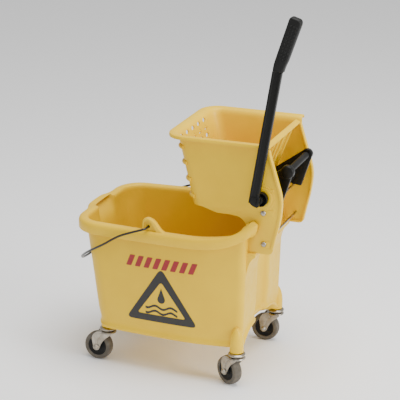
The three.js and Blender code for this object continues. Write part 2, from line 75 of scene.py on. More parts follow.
WALL = 4
FLOOR_Z = 105
RIM_BOTTOM_Z = 371
RIM_TOP_Z = 401
END_WALL_X = 205
END_WALL_TOP_Z = 415
HORN_Y = 134.7
SHELF_Z = 361
POST_RADIUS = 18
POST_BOTTOM_Z = 97

FRAME_Y = 131
MOUTH_Z = 645
FLARE_Z = 630
HOPPER_FLOOR_Z = 455
HOPPER_FOOT_Z = 467
LEAN = 0.24
MOUTH_X = 257
FLANGE = 11
CORNER_ROUND = 30
LEG_FOOT_Z = SHELF_Z + 0.3

PIVOT = drawn(JOINTS["bail_swing"]["pos_m"])
SHAFT = drawn(JOINTS["lever_press"]["pos_m"])
HINGE = drawn(JOINTS["press_swing"]["pos_m"])
CRANK_PIN = drawn(box_middle("crank_pin"))
CAM_Y = 78
LEVER_Y = -159

BAR_FOOT = (228, 503)
BAR_TOP = (284.5, 838)
BAR_HALF = 12

TRAIL = 28
WHEEL_RADIUS = 38


# ---- Lines and outlines --------------------------------------------------------------------------


def between(a, b, share):
    return tuple(p + (q - p) * share for p, q in zip(a, b))


def ease(low, high, value):
    share = min(max((value - low) / (high - low), 0), 1)
    return share * share * (3 - 2 * share)


def line(a, b, count):
    """count points from a on, without b."""
    return [between(a, b, i / count) for i in range(count)]


def bend(a, pull, b, count):
    """count points of a bent line from a on, without b, pulled towards one point."""
    return [
        between(between(a, pull, i / count), between(pull, b, i / count), i / count)
        for i in range(count)
    ]


def arc(centre, radius, start, stop, count):
    """count points of an arc in degrees from start on, without its end."""
    turns = [math.radians(start + (stop - start) * i / count) for i in range(count)]
    return [
        (centre[0] + radius * math.cos(t), centre[1] + radius * math.sin(t)) for t in turns
    ]


def through(points, count):
    """count points of a smooth line through the given ones, without the last."""
    ends = [points[0], *points, points[-1]]
    made = []
    for i in range(count):
        place = i / count * (len(points) - 1)
        span = int(place)
        t = place - span
        a, b, c, d = ends[span : span + 4]
        made.append(
            tuple(
                0.5
                * (
                    2 * q
                    + (r - p) * t
                    + (2 * p - 5 * q + 4 * r - s) * t * t
                    + (3 * q - p - 3 * r + s) * t**3
                )
                for p, q, r, s in zip(a, b, c, d)
            )
        )
    return made


def softened(corners, radius, steps=4, closed=True):
    """An outline with its corners rounded over."""
    made = []
    corners = [c for i, c in enumerate(corners) if math.dist(c, corners[i - 1]) > 1e-6]
    count = len(corners)
    for i, corner in enumerate(corners):
        if not closed and i in (0, count - 1):
            made.append(corner)
            continue
        before = corners[i - 1]
        after = corners[(i + 1) % count]
        back = math.dist(corner, before)
        ahead = math.dist(corner, after)
        reach = min(radius, back / 2.1, ahead / 2.1)
        start = between(corner, before, reach / back)
        end = between(corner, after, reach / ahead)
        made += [*bend(start, corner, end, steps), end]
    return made


def both_ways(half):
    """A profile from its lower half: the second number of each point changes its sign."""
    return [*half, *[(a, -b) for a, b in reversed(half)]]


def on_side(side, near, far):
    """The limits in Y, in order, of a piece between two distances from the middle."""
    return sorted((side * near, side * far))


# ---- Meshes --------------------------------------------------------------------------------------

SHARP_FROM = 40  # degrees between faces from which an edge shows


def show(name, mesh):
    thing = bpy.data.objects.new(name, mesh)
    bpy.context.scene.collection.objects.link(thing)
    return thing


def from_faces(name, points, faces):
    mesh = bpy.data.meshes.new(name)
    mesh.from_pydata([tuple(p) for p in points], [], faces)
    return show(name, mesh)


def settle(thing):
    """Makes the shape that the modifiers give the thing's own mesh."""
    bpy.context.view_layer.update()
    graph = bpy.context.evaluated_depsgraph_get()
    mesh = bpy.data.meshes.new_from_object(thing.evaluated_get(graph))
    if thing.type == "MESH":
        thing.modifiers.clear()
        thing.data = mesh
        return thing
    name = thing.name
    bpy.data.objects.remove(thing)
    return show(name, mesh)


def heal(thing, reach=0.01):
    """Merges doubled points and turns every face outwards."""
    work = bmesh.new()
    work.from_mesh(thing.data)
    bmesh.ops.remove_doubles(work, verts=work.verts, dist=reach)
    bmesh.ops.recalc_face_normals(work, faces=work.faces)
    work.to_mesh(thing.data)
    work.free()
    return thing


def slab(name, outlines, y_low, y_high, edge=1.0):
    """A plate cut to outlines in X and Z, the later ones holes, with its edges rounded over."""
    curve = bpy.data.curves.new(name, "CURVE")
    curve.dimensions = "2D"
    curve.fill_mode = "BOTH"
    curve.extrude = (y_high - y_low) / 2 - edge
    curve.bevel_depth = edge
    curve.offset = -edge
    curve.bevel_resolution = 2
    for outline in outlines:
        spline = curve.splines.new("POLY")
        spline.points.add(len(outline) - 1)
        for point, (x, z) in zip(spline.points, outline):
            point.co = (x, z, 0, 1)
        spline.use_cyclic_u = True
    plate = settle(show(name, curve))
    middle = Matrix.Translation((0, (y_low + y_high) / 2, 0))
    plate.data.transform(middle @ Matrix.Rotation(math.pi / 2, 4, "X"))
    return heal(plate)


def turned(name, profile, centre=(0, 0, 0), axis="Z", steps=48, closed=False):
    """A turned shape: profile holds (radius, height) along the axis."""
    points = []
    for radius, height in profile:
        for i in range(steps):
            turn = 2 * math.pi * i / steps
            points.append((radius * math.cos(turn), radius * math.sin(turn), height))
    rows = len(profile)
    faces = []
    for row in range(rows if closed else rows - 1):
        for i in range(steps):
            ahead = (i + 1) % steps
            here = row * steps
            above = (row + 1) % rows * steps
            faces.append((here + i, here + ahead, above + ahead, above + i))
    thing = from_faces(name, points, faces)
    if axis == "Y":
        thing.data.transform(Matrix.Rotation(-math.pi / 2, 4, "X"))
    thing.data.transform(Matrix.Translation(centre))
    return heal(thing)


def rod(name, radius, centre, y_low, y_high):
    corners = [(0, y_low), (radius, y_low), (radius, y_high), (0, y_high)]
    profile = softened(corners, 0.8, 3, closed=False)
    return turned(name, profile, (centre[0], 0, centre[1]), "Y", 32)


def ring(name, outer, inner, centre, y_low, y_high, edge=0.8):
    corners = [(inner, y_low), (outer, y_low), (outer, y_high), (inner, y_high)]
    profile = softened(corners, edge, 3)
    return turned(name, profile, (centre[0], 0, centre[1]), "Y", 40, closed=True)


def combine(name, things):
    """One thing from several that lie against or in each other."""
    work = bmesh.new()
    for thing in things:
        work.from_mesh(thing.data)
        bpy.data.objects.remove(thing)
    mesh = bpy.data.meshes.new(name)
    work.to_mesh(mesh)
    work.free()
    return show(name, mesh)


def fuse(base, *tools, operation="UNION"):
    """base with the tools joined to it or cut from it."""
    for tool in tools:
        step = base.modifiers.new("fuse", "BOOLEAN")
        step.solver = "EXACT"
        step.operation = operation
        step.object = tool
        settle(base)
        bpy.data.objects.remove(tool)
    return base


def bored(thing, radius, centre, y):
    """thing with a hole cut through it on each side, where its wall stands at this Y."""
    tools = [rod("bore", radius, centre, side * y - 12, side * y + 12) for side in (-1, 1)]
    return fuse(thing, *tools, operation="DIFFERENCE")


def grid(work, rows):
    """Faces between rows of points."""
    for upper, under in zip(rows, rows[1:]):
        for i in range(len(upper) - 1):
            work.faces.new((upper[i], upper[i + 1], under[i + 1], under[i]))


def keep(thing, material, body, slot, *nodes):
    """Puts a drawn thing in its place in the frame and gives it its finish and its body."""
    thing.data.transform(TO_FRAME)
    thing.data.shade_smooth()
    thing.data.set_sharp_from_angle(angle=math.radians(SHARP_FROM))
    thing.data.materials.clear()
    thing.data.materials.append(material)
    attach(thing, body)
    if nodes:
        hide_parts(*nodes)
    return thing


# ---- Finishes ------------------------------------------------------------------------------------


def colour(text):
    """An sRGB hex colour, made linear."""
    parts = [int(text[i : i + 2], 16) / 255 for i in (0, 2, 4)]
    linear = [p / 12.92 if p <= 0.04045 else ((p + 0.055) / 1.055) ** 2.4 for p in parts]
    return (*linear, 1)


def new_finish(name, **sockets):
    """A material and its shader, with the shader's own settings."""
    material = bpy.data.materials.new(name)
    material.use_nodes = True
    shader = material.node_tree.nodes["Principled BSDF"]
    for socket, value in sockets.items():
        shader.inputs[socket.replace("_", " ")].default_value = value
    return material, shader


def add(tree, kind, settings=None, links=()):
    """A node with its settings. links holds (its input, from which node, from which output)."""
    node = tree.nodes.new(kind)
    for key, value in (settings or {}).items():
        if isinstance(key, int) or key in node.inputs:
            node.inputs[key].default_value = value
        else:
            setattr(node, key, value)
    for socket, source, output in links:
        tree.links.new(source.outputs[output], node.inputs[socket])
    return node


def patches(tree, size_mm, detail):
    """Soft-edged patches of a real size, on the piece's own coordinates."""
    place = add(tree, "ShaderNodeTexCoord")
    settings = {"Scale": 1 / (size_mm * MM), "Detail": detail}
    return add(tree, "ShaderNodeTexNoise", settings, [("Vector", place, "Object")])


def grained(finish, grain_mm, depth_mm, strength):
    """Fine bump. The real grain is about a tenth of a millimetre, too fine to show, so it is
    drawn as coarse as it needs to be to break up the highlights."""
    material, shader = finish
    tree = material.node_tree
    settings = {"Strength": strength, "Distance": depth_mm * MM}
    links = [("Height", patches(tree, grain_mm, 3.0), "Fac")]
    bump = add(tree, "ShaderNodeBump", settings, links)
    tree.links.new(bump.outputs["Normal"], shader.inputs["Normal"])


def tinted(finish, patch_mm, detail, *stops):
    """Patches of slightly different colours. stops holds (position, hex colour)."""
    material, shader = finish
    tree = material.node_tree
    links = [("Fac", patches(tree, patch_mm, detail), "Fac")]
    tint = add(tree, "ShaderNodeValToRGB", links=links)
    first, last = tint.color_ramp.elements
    first.position, first.color = stops[0][0], colour(stops[0][1])
    last.position, last.color = stops[-1][0], colour(stops[-1][1])
    for position, text in stops[1:-1]:
        tint.color_ramp.elements.new(position).color = colour(text)
    tree.links.new(tint.outputs["Color"], shader.inputs["Base Color"])


def worn(finish, patch_mm, detail, low, high):
    """Patches of different gloss, between two roughnesses."""
    material, shader = finish
    tree = material.node_tree
    settings = {"From Min": 0.3, "From Max": 0.7, "To Min": low, "To Max": high}
    links = [("Value", patches(tree, patch_mm, detail), "Fac")]
    gloss = add(tree, "ShaderNodeMapRange", settings, links)
    tree.links.new(gloss.outputs["Result"], shader.inputs["Roughness"])


def yellow_polypropylene():
    """Injection-moulded polypropylene in safety yellow: satin, faintly uneven in colour, and very
    slightly rippled like the tool it came from."""
    finish = new_finish(
        "moulded_yellow_polypropylene", Roughness=0.45, IOR=1.49, Specular_IOR_Level=0.35)
    grained(finish, 2.2, 0.05, 0.35)
    tinted(finish, 111, 4.0, (0.3, "E2B600"), (0.55, "E8BD00"), (0.75, "ECC200"))
    worn(finish, 16.7, 6.0, 0.36, 0.5)
    return finish[0]


def black_nylon():
    """Glass-filled black nylon: nearly matt, with a fine spark-eroded grain."""
    finish = new_finish(
        "moulded_black_nylon", Roughness=0.55, IOR=1.53, Specular_IOR_Level=0.25)
    grained(finish, 1.2, 0.06, 0.5)
    tinted(finish, 25, 3.0, (0.3, "0A0A08"), (0.7, "11110F"))
    return finish[0]


def black_powder_coat():
    """Powder-coated steel: black with the soft orange-peel ripple of baked powder."""
    finish = new_finish(
        "black_powder_coated_steel", Roughness=0.42, IOR=1.5, Specular_IOR_Level=0.22)
    grained(finish, 1.6, 0.08, 0.45)
    tinted(finish, 40, 3.0, (0.3, "090907"), (0.7, "10100D"))
    return finish[0]


def zinc_plate():
    """Bright zinc plate on pressed steel: a pale metal with faint blotches and a fine unevenness
    that blurs its reflections."""
    finish = new_finish("zinc_plated_steel", Metallic=1.0, Roughness=0.3)
    grained(finish, 0.9, 0.03, 0.35)
    tinted(finish, 14.3, 5.0, (0.3, "8C857A"), (0.55, "A69F92"), (0.75, "BBB5A8"))
    worn(finish, 14.3, 5.0, 0.24, 0.4)
    return finish[0]


def painted_wire():
    """Drawn steel wire with black paint: a thin glossy skin, a little uneven."""
    finish = new_finish("black_painted_wire", Roughness=0.32, IOR=1.5)
    grained(finish, 2.5, 0.05, 0.4)
    tinted(finish, 20, 3.0, (0.3, "100F0B"), (0.7, "1B1914"))
    return finish[0]


def grey_rubber():
    """Non-marking thermoplastic rubber: matt warm grey, with dust worn into the tread."""
    finish = new_finish("grey_non_marking_rubber", Roughness=0.72, IOR=1.5)
    grained(finish, 1.0, 0.08, 0.6)
    tinted(finish, 18.2, 5.0, (0.3, "4E483E"), (0.55, "5E574C"), (0.75, "6E675A"))
    return finish[0]


def screen_ink(name, dark, light):
    """Screen-printed ink: a thin, slightly uneven film, a little glossier than the plastic."""
    finish = new_finish(name, Roughness=0.34, IOR=1.5)
    grained(finish, 0.8, 0.02, 0.3)
    tinted(finish, 8.33, 3.0, (0.3, dark), (0.7, light))
    return finish[0]


YELLOW = yellow_polypropylene()
NYLON = black_nylon()
COATED = black_powder_coat()
ZINC = zinc_plate()
WIRE = painted_wire()
RUBBER = grey_rubber()
RED_INK = screen_ink("red_screen_ink", "8C0008", "9C040C")
BLACK_INK = screen_ink("black_screen_ink", "0A0907", "14120E")


# ---- Studs in rows -------------------------------------------------------------------------------


def studs(name, sizes, stud, stretch, material):
    """Studs on a flat grid round the origin, made with Geometry Nodes. stud holds the kind of
    node that makes one, its settings, and the sockets that take the radius."""
    tree = bpy.data.node_groups.new(name, "GeometryNodeTree")
    tree.interface.new_socket("Geometry", in_out="OUTPUT", socket_type="NodeSocketGeometry")
    sockets = {}
    for size, value in sizes.items():
        kind = "NodeSocketInt" if isinstance(value, int) else "NodeSocketFloat"
        sockets[size] = tree.interface.new_socket(size, in_out="INPUT", socket_type=kind)
    enter = add(tree, "NodeGroupInput")
    links = []
    for axis in "XY":
        count, pitch = (0, enter, f"Count {axis}"), (1, enter, f"Pitch {axis}")
        gaps = add(tree, "ShaderNodeMath", {"operation": "SUBTRACT", 1: 1}, [count])
        length = add(tree, "ShaderNodeMath", {"operation": "MULTIPLY"}, [(0, gaps, 0), pitch])
        links += [(f"Size {axis}", length, 0), (f"Vertices {axis}", *count[1:])]
    sheet = add(tree, "GeometryNodeMeshGrid", links=links)
    kind, settings, radii = stud
    shape = add(tree, kind, settings, [(socket, enter, "Radius") for socket in radii])
    links = [("Points", sheet, "Mesh"), ("Instance", shape, "Mesh")]
    place = add(tree, "GeometryNodeInstanceOnPoints", {"Scale": stretch}, links)
    real = add(tree, "GeometryNodeRealizeInstances", links=[("Geometry", place, "Instances")])
    links = [("Geometry", real, "Geometry")]
    dress = add(tree, "GeometryNodeSetMaterial", {"Material": material}, links)
    add(tree, "NodeGroupOutput", links=[("Geometry", dress, "Geometry")])
    thing = show(name, bpy.data.meshes.new(name))
    made = thing.modifiers.new(name, "NODES")
    made.node_group = tree
    for size, value in sizes.items():
        made[sockets[size].identifier] = value
    return settle(thing)


# ---- Bucket --------------------------------------------------------------------------------------


def rise(x):
    """The rim sweeps up towards the wringer end."""
    return 47 * min(max((x - 50) / 180, 0), 1) ** 3


def taper(x, y, z):
    """The body is narrower at the floor than at the rim."""
    up = min(max((z - FLOOR_Z) / (RIM_BOTTOM_Z - FLOOR_Z), 0), 1)
    x *= 0.86 + 0.14 * up if x < 0 else 0.956 + 0.044 * up
    return x, y * (0.98 + 0.02 * up)


def end_wall_half():
    """Half of the end wall's outline beside and behind the wringer, up to the groove's middle."""
    return [
        *line((END_WALL_X, -HORN_Y), (END_WALL_X, -54), 14),
        *bend((END_WALL_X, -54), (END_WALL_X, -44), (197, -38), 5),
        *bend((197, -38), (187, -30), (186, 0), 10),
        (186, 0),
    ]


def body_half():
    """Half of the body's outline at the rim, from the spout to the groove in the end wall."""
    return [
        *line((-241, 0), (-241, -52), 10),
        *line((-241, -52), (-241, -105), 6),
        *arc((-188, -105), 53, 180, 270, 14),
        *through([(-188, -158), (-60, -166), (60, -169), (120, -165), (184, -156)], 28),
        *bend((184, -156), (END_WALL_X, -153), (END_WALL_X, -138), 10),
        *line((END_WALL_X, -138), (END_WALL_X, -HORN_Y), 6),
        *end_wall_half(),
    ]


def rim_half():
    """The same points on the rolled rim, which ends in a rounded horn beside the wringer."""
    lip = [(-277, 0), (-276.5, -22), (-275, -38), (-270.5, -51), (-265.5, -64), (-263, -80)]
    return [
        *through(lip, 13),
        *line((-263, -80), (-263, -105), 3),
        *arc((-188, -105), 75, 180, 270, 14),
        *through([(-188, -180), (-60, -188), (60, -191), (120, -186), (168, -176)], 28),
        *bend((168, -176), (222, -161), (234, -143), 10),
        *bend((234, -143), (235, -HORN_Y), (226, -HORN_Y), 3),
        *line((226, -HORN_Y), (206, -HORN_Y), 3),
        *[(x + 0.6, y) for x, y in end_wall_half()],
    ]


def wall_section(body, rim, outward, bottom_z, has_rim):
    """The closed line of points up the outside of the wall, round the lip and down inside."""
    spout = 1 - ease(46, 62, abs(rim[1])) if rim[0] < -200 else 0
    reach = math.dist(body, rim)
    top = RIM_TOP_Z + rise(rim[0]) if has_rim else END_WALL_TOP_Z
    low = RIM_BOTTOM_Z + rise(rim[0]) if has_rim else END_WALL_TOP_Z - 30

    def wall(z, out):
        """A point of the wall's plan, moved out from its face, flared at the spout."""
        flare = spout * ease(356, top, z) * max(1 - 9 / reach, 0)
        x, y = between(body, rim, flare)
        x, y = taper(x, y, z)
        return (x + outward[0] * out, y + outward[1] * out, z)

    def lip(inset, z):
        """A point of the lip's plan, moved in from its edge."""
        x, y = between(body, rim, max(1 - inset / reach, 0))
        return (x, y, z)

    def base(inset, z):
        """A point under or on the floor, moved in towards the middle."""
        x, y, _ = wall(z, 0)
        return (x * (1 - inset / 205), y * (1 - inset / 160), z)

    # How far out each point of the moulded foot stands, and how far up from the bottom.
    foot = [(0.4, 1), (1.6, 3), (1.8, 8), (-1.2, 12), (-2.8, 22), (-1.2, 36), (0, 52)]
    horn = ease(208, 234, rim[0])
    # The rolled lip from its underside round to its top: in from the edge, and height.
    edge = [
        (4, top - 8),
        (4 + 12 * horn, low + 2 - 15 * horn),
        (2 + 5 * horn, low - 5 * horn),
        (2 * horn, low + 2.5 + 4 * horn),
        (0, top - 10),
        (0.8 + 0.8 * horn, top - 6 - horn),
        (3 + 3 * horn, top - 2.4 - horn),
        (7 + 4 * horn, top - 0.4),
        (0.7 * reach, top - 0.2 - 5 * horn),
    ]
    made = [base(46, FLOOR_Z), base(9, bottom_z + 0.5), base(4, bottom_z)]
    made += [wall(bottom_z + z, out) for out, z in foot]
    start = bottom_z + foot[-1][1]
    made += [wall(start + (low - 10 - start) * i / 9, 0) for i in range(1, 10)]
    made += [wall(top - 8, 0)]
    made += [lip(inset, z) for inset, z in edge]
    top -= 11 * horn
    made += [wall(top - 0.2, 2.5), wall(top - 1.2, -0.5), wall(top - 3.6, -2.6)]
    made += [wall(top - 8, -WALL)]
    inner = bottom_z + WALL
    made += [wall(top - 14 + (inner + 30 - top) * i / 13, -WALL) for i in range(14)]
    made += [wall(inner + 7, -WALL - 1.5), wall(inner + 2, -WALL - 5)]
    made += [base(16, inner), base(46, FLOOR_Z + WALL)]
    return made


def mirrored(half):
    """A whole outline from its front half."""
    return [*half, *[(x, -y) for x, y in reversed(half[1:-1])]]


def foot_height(x, y):
    """The end wall's bottom edge is arched between the casters."""
    if x < 150 or abs(y) >= HORN_Y:
        return FLOOR_Z
    return FLOOR_Z + 33 * (1 - (abs(y) / HORN_Y) ** 4)


def bucket_skin():
    body = mirrored(body_half())
    rim = mirrored(rim_half())
    count = len(body)
    sections = []
    for i in range(count):
        ahead = body[(i + 1) % count]
        behind = body[i - 1]
        run = math.dist(ahead, behind)
        outward = ((ahead[1] - behind[1]) / run, -(ahead[0] - behind[0]) / run)
        has_rim = math.dist(body[i], rim[i]) > 0.7
        bottom = foot_height(*body[i])
        sections.append(wall_section(body[i], rim[i], outward, bottom, has_rim))
    rows = len(sections[0])
    points = [point for section in sections for point in section]
    faces = []
    for i in range(count):
        here = i * rows
        ahead = (i + 1) % count * rows
        faces += [(here + k, ahead + k, ahead + k + 1, here + k + 1) for k in range(rows - 1)]
    faces.append([i * rows for i in reversed(range(count))])
    faces.append([i * rows + rows - 1 for i in range(count)])
    return heal(from_faces("bucket_moulding", points, faces))


def caster_post(corner):
    stem = drawn(box_middle(f"caster_stem_{corner}"))
    profile = [
        (0, POST_BOTTOM_Z),
        (POST_RADIUS, POST_BOTTOM_Z),
        (POST_RADIUS, 124),
        (16.8, 135),
        (14, 146),
        (9.5, 156),
        (4, 162),
        (0, 163),
    ]
    return turned("post", softened(profile, 3, 3, closed=False), (stem.x, stem.y, 0))


def bail_ear(side):
    """A humped lug on the rim with a raised border round its recess."""
    hump = [
        (-60, 394),
        (-60, 416),
        *bend((-60, 420), (-59, 435), (-44, 435), 6),
        *bend((-44, 435), (-28, 433), (-16, 413), 8),
        *bend((-16, 413), (-8, 402), (4, 398), 5),
        (4, 394),
    ]
    recess = softened([(-54, 392), (-54, 424), (-44, 430), (-36, 426), (-22, 404), (-22, 392)], 5)
    ear = slab("ear", [hump], *on_side(side, 167, 181), 2.5)
    cut = slab("recess", [recess], *on_side(side, 177, 190), 0.8)
    return fuse(ear, cut, operation="DIFFERENCE")


def wringer_shelf(side):
    """The ledge that one leg of the wringer stands on, curving down into the end wall."""
    outline = [
        *bend((202, SHELF_Z - 70), (207, SHELF_Z - 23), (224, SHELF_Z - 12), 10),
        *softened([(224, SHELF_Z - 12), (227, SHELF_Z - 9), (227, SHELF_Z)], 2, closed=False),
        (202, SHELF_Z),
    ]
    return slab("shelf", [outline], *on_side(side, 52, 137), 1.5)


def bucket_moulding():
    shell = bucket_skin()
    fuse(shell, *[caster_post(corner) for corner in CORNERS])
    fuse(shell, *[wringer_shelf(side) for side in (-1, 1)])
    fuse(shell, *[bail_ear(side) for side in (-1, 1)])
    return bored(shell, 4.2, (PIVOT.x, PIVOT.z), 175)


# ---- Prints on the front wall --------------------------------------------------------------------


FILM = 0.35


def printed(name, shapes, wall, material, slot):
    """Flat ink shapes drawn in X and Z, each with or without a hole, laid on the front wall as a
    film with a thickness."""
    work = bmesh.new()
    for outer, inner in shapes:
        rim = [work.verts.new((x, 0, z)) for x, z in outer]
        if inner is None:
            work.faces.new(rim)
            continue
        core = [work.verts.new((x, 0, z)) for x, z in inner]
        for i in range(len(rim)):
            k = (i + 1) % len(rim)
            work.faces.new((rim[i], rim[k], core[k], core[i]))
    low = min(v.co.x for v in work.verts)
    high = max(v.co.x for v in work.verts)
    step = 6
    for i in range(1, int((high - low) / step) + 1):
        everything = [*work.verts, *work.edges, *work.faces]
        cut = Vector((low + i * step, 0, 0))
        bmesh.ops.bisect_plane(work, geom=everything, plane_co=cut, plane_no=(1, 0, 0))
    for vert in work.verts:
        before_wall = Vector((vert.co.x, -400, vert.co.z))
        vert.co.y = wall.ray_cast(before_wall, Vector((0, 1, 0)))[0].y - 0.3
    mesh = bpy.data.meshes.new(name)
    work.to_mesh(mesh)
    work.free()
    film = heal(show(name, mesh))
    thick = film.modifiers.new("thick", "SOLIDIFY")
    thick.thickness = FILM
    thick.offset = 0
    heal(settle(film), 0.001)
    return keep(film, material, "bucket", slot)


def slanted_bar(x, width, z_low, z_high, slant):
    corners = [(x, z_low), (x + width, z_low), (x + width + slant, z_high), (x + slant, z_high)]
    return softened(corners, 2, 3), None


def warning_band(wall):
    """A row of slanted red bars."""
    bars = [slanted_bar(-113 + i * 24.5, 14.5, 295, 325, 12) for i in range(8)]
    return printed("red_band_print", bars, wall, RED_INK, "red_print")


def warning_sign(wall):
    """A rounded triangle with a drop over two waves."""

    def triangle(grow, radius):
        corners = [
            (-100 - grow * 1.7, 158 - grow),
            (69 + grow * 1.7, 158 - grow),
            (-15.5, 282 + grow * 2),
        ]
        return softened(corners, radius, 6)

    drop = [
        (-15.5, 244),
        *bend((-15.5, 244), (-21, 228), (-25, 218), 6)[1:],
        *arc((-15.5, 213), 10.6, 152, 388, 16),
        *bend((-6, 218), (-10, 228), (-15.5, 244), 6),
    ]

    def wave(z):
        count = 24
        xs = [-60 + 89 * i / count for i in range(count + 1)]
        below = [(x, z - 3 + 4 * math.sin(x / 7)) for x in xs]
        above = [(x, z + 3 + 4 * math.sin(x / 7)) for x in reversed(xs)]
        return [*below, *above]

    border = (triangle(9, 18), triangle(-10, 9))
    shapes = [border, (drop, None), (wave(190), None), (wave(176), None)]
    return printed("triangle_print", shapes, wall, BLACK_INK, "black_print")


# ---- Bail ----------------------------------------------------------------------------------------


def wire_shape(name, points, radius):
    curve = bpy.data.curves.new(name, "CURVE")
    curve.dimensions = "3D"
    curve.bevel_depth = radius
    curve.bevel_resolution = 5
    curve.use_fill_caps = True
    spline = curve.splines.new("POLY")
    spline.points.add(len(points) - 1)
    for point, place in zip(spline.points, points):
        point.co = (*place, 1)
    return heal(settle(show(name, curve)))


def bail():
    """The wire leaves each ear outwards, runs down beside the rim and dips under the spout."""
    half = [
        (PIVOT.x, 166, PIVOT.z),
        (PIVOT.x, 178, PIVOT.z),
        (PIVOT.x - 1, 189, PIVOT.z - 1),
        (-52, 197, 409),
        (-81, 200, 399),
        (-118, 200, 383),
        (-161, 197, 355),
        (-214, 170, 320),
        (-258, 116, 283),
        (-280, 62, 257),
        (-287, 0, 247),
    ]
    front = [(x, -y, z) for x, y, z in half]
    route = through([*front, *reversed(half[:-1])], 220)
    return wire_shape("bail", [*route, half[0]], 2.9)


# ---- Casters -------------------------------------------------------------------------------------


def caster_fork(corner):
    """The pressed fork: a crown under the race, a bridge and two legs with a pressed rib each."""
    crown = [(0, 80.5), (17, 80.5), (21.5, 79.5), (22.5, 81), (21, 84), (15, 86), (0, 86)]
    pieces = [turned("crown", softened(crown, 1.2, 4, closed=False))]
    leg = [
        (15, 83.5),
        (-16, 83.5),
        *bend((-16, 83.5), (-38, 82), (-41, 60), 8),
        *line((-41, 60), (-TRAIL - 9.5, WHEEL_RADIUS), 2),
        *arc((-TRAIL, WHEEL_RADIUS), 9.5, 180, 335, 12),
        *bend((-19.4, 34), (-10, 62), (12, 74), 8),
        (15, 78),
    ]
    rib = [(-6, 80), (-27, 79), (-33, 60), (-31, 46), (-25, 46), (-22, 60)]
    for side in (-1, 1):
        pieces.append(slab("leg", [softened(leg, 1, 2)], *on_side(side, 15, 18), 0.9))
        pieces.append(slab("rib", [softened(rib, 5, 5)], *on_side(side, 17, 19.2), 0.9))
    bridge = [(-22, 80), (15, 80), (15, 83.4), (-22, 83.4)]
    pieces.append(slab("bridge", [bridge], -17, 17, 0.9))
    return combine(f"fork_{corner}", pieces)


def caster_parts(corner):
    """The pieces of one caster, drawn with its post at the origin and its wheel trailing to -X,
    each with its body, finish, slot and the CAD node that it takes the place of."""
    axle = (-TRAIL, 0, WHEEL_RADIUS)
    race = [
        *[(0, 86.5), (15, 86.5), (20, 87.5), (22.5, 90)],
        *[(22.5, 92.5), (19, 95.2), (13, 96.6), (0, 96.6)],
    ]
    shank = [
        *[(0, -25), (4.5, -24.4), (6.4, -22.5), (7, -20)],
        *[(9, -19.6), (9, -18.3), (4, -18.3), (4, 18.3)],
        *[(9, 18.3), (9, 19.6), (7, 20), (6.4, 23.6), (0, 24)],
    ]
    spool = [
        *[(4.3, -14.4), (9, -14.4), (10.5, -13), (11.5, -9)],
        *[(19, -8.4), (22.5, -10.5), (25.6, -11.6)],
    ]
    tread = [
        *[(25.8, -11.4), (27.5, -12), (33.5, -12), (35.8, -11), (37.3, -7.5)],
        *[(WHEEL_RADIUS, -2.2), (WHEEL_RADIUS - 0.4, -1.6)],
    ]
    fork = caster_fork(corner)
    hub = turned(f"hub_{corner}", both_ways(spool), axle, "Y", 48, closed=True)
    tyre = turned(f"tyre_ring_{corner}", both_ways(tread), axle, "Y", 64, closed=True)
    stem = turned(f"race_{corner}", softened(race, 1.4, 4, closed=False))
    bolt = turned(f"axle_bolt_{corner}", shank, axle, "Y", 24)
    return [
        (fork, "swivel", ZINC, "zinc_steel", "caster_fork"),
        (hub, "wheel", NYLON, "black_plastic", "wheel_hub"),
        (tyre, "wheel", RUBBER, "grey_rubber", "tyre"),
        (stem, "bucket", ZINC, "zinc_steel", "caster_stem"),
        (bolt, "swivel", ZINC, "zinc_steel", "caster_axle"),
    ]


def casters():
    for corner in CORNERS:
        stem = drawn(box_middle(f"caster_stem_{corner}"))
        spin = JOINTS[f"wheel_spin_{corner}"]
        turn = math.atan2(-spin["axis"][0], spin["axis"][1])
        place = Matrix.Translation((stem.x, stem.y, 0)) @ Matrix.Rotation(turn, 4, "Z")
        for thing, body, material, slot, node in caster_parts(corner):
            thing.data.transform(place)
            body = body if body == "bucket" else f"{body}_{corner}"
            keep(thing, material, body, slot, f"{node}_{corner}")


# ---- Wringer -------------------------------------------------------------------------------------


RIB_LEVELS = (614, 574, 532, 490)
SIDE_POINTS = 26
CORNER_POINTS = 9
END_POINTS = 14


def frame_right_edge():
    """The side frame's right-hand edge, from the foot of the leg up to the flare of the mouth."""
    leg = [(270.5, LEG_FOOT_Z + 16), (279, 414), (286.5, 446), (291, 478), (292, 500)]
    cheek = [(289, 522), (281.5, 548), (271, 583), (262.5, 610), (MOUTH_X, FLARE_Z)]
    return [
        *bend((254, LEG_FOOT_Z), (270, LEG_FOOT_Z), leg[0], 8),
        *through([*leg, *cheek], 44),
        (MOUTH_X, FLARE_Z),
    ]


def left_x(z):
    """The outer face of the hopper's slanting left wall."""
    return 9 + LEAN * (MOUTH_Z - z)


def wall_line(z, right_x):
    """The hopper's outline at one height: front side, left wall and rear side. The third number
    of each point grows round the corner, from 0 on the sides to 1 on the left wall."""
    x = left_x(z)
    turn = x + CORNER_ROUND
    corner_y = FRAME_Y - CORNER_ROUND
    half = [(a, -FRAME_Y, 0.0) for a, _ in line((right_x, 0), (turn, 0), SIDE_POINTS)]
    for i in range(CORNER_POINTS):
        angle = math.radians(270 - 90 * i / CORNER_POINTS)
        across = CORNER_ROUND * math.cos(angle)
        along = CORNER_ROUND * math.sin(angle)
        half.append((turn + across, -corner_y + along, i / CORNER_POINTS))
    half += [(x, y, 1.0) for y, _ in line((-corner_y, 0), (0, 0), END_POINTS)]
    return [*half, (x, 0, 1.0), *[(a, -y, lean) for a, y, lean in reversed(half)]]


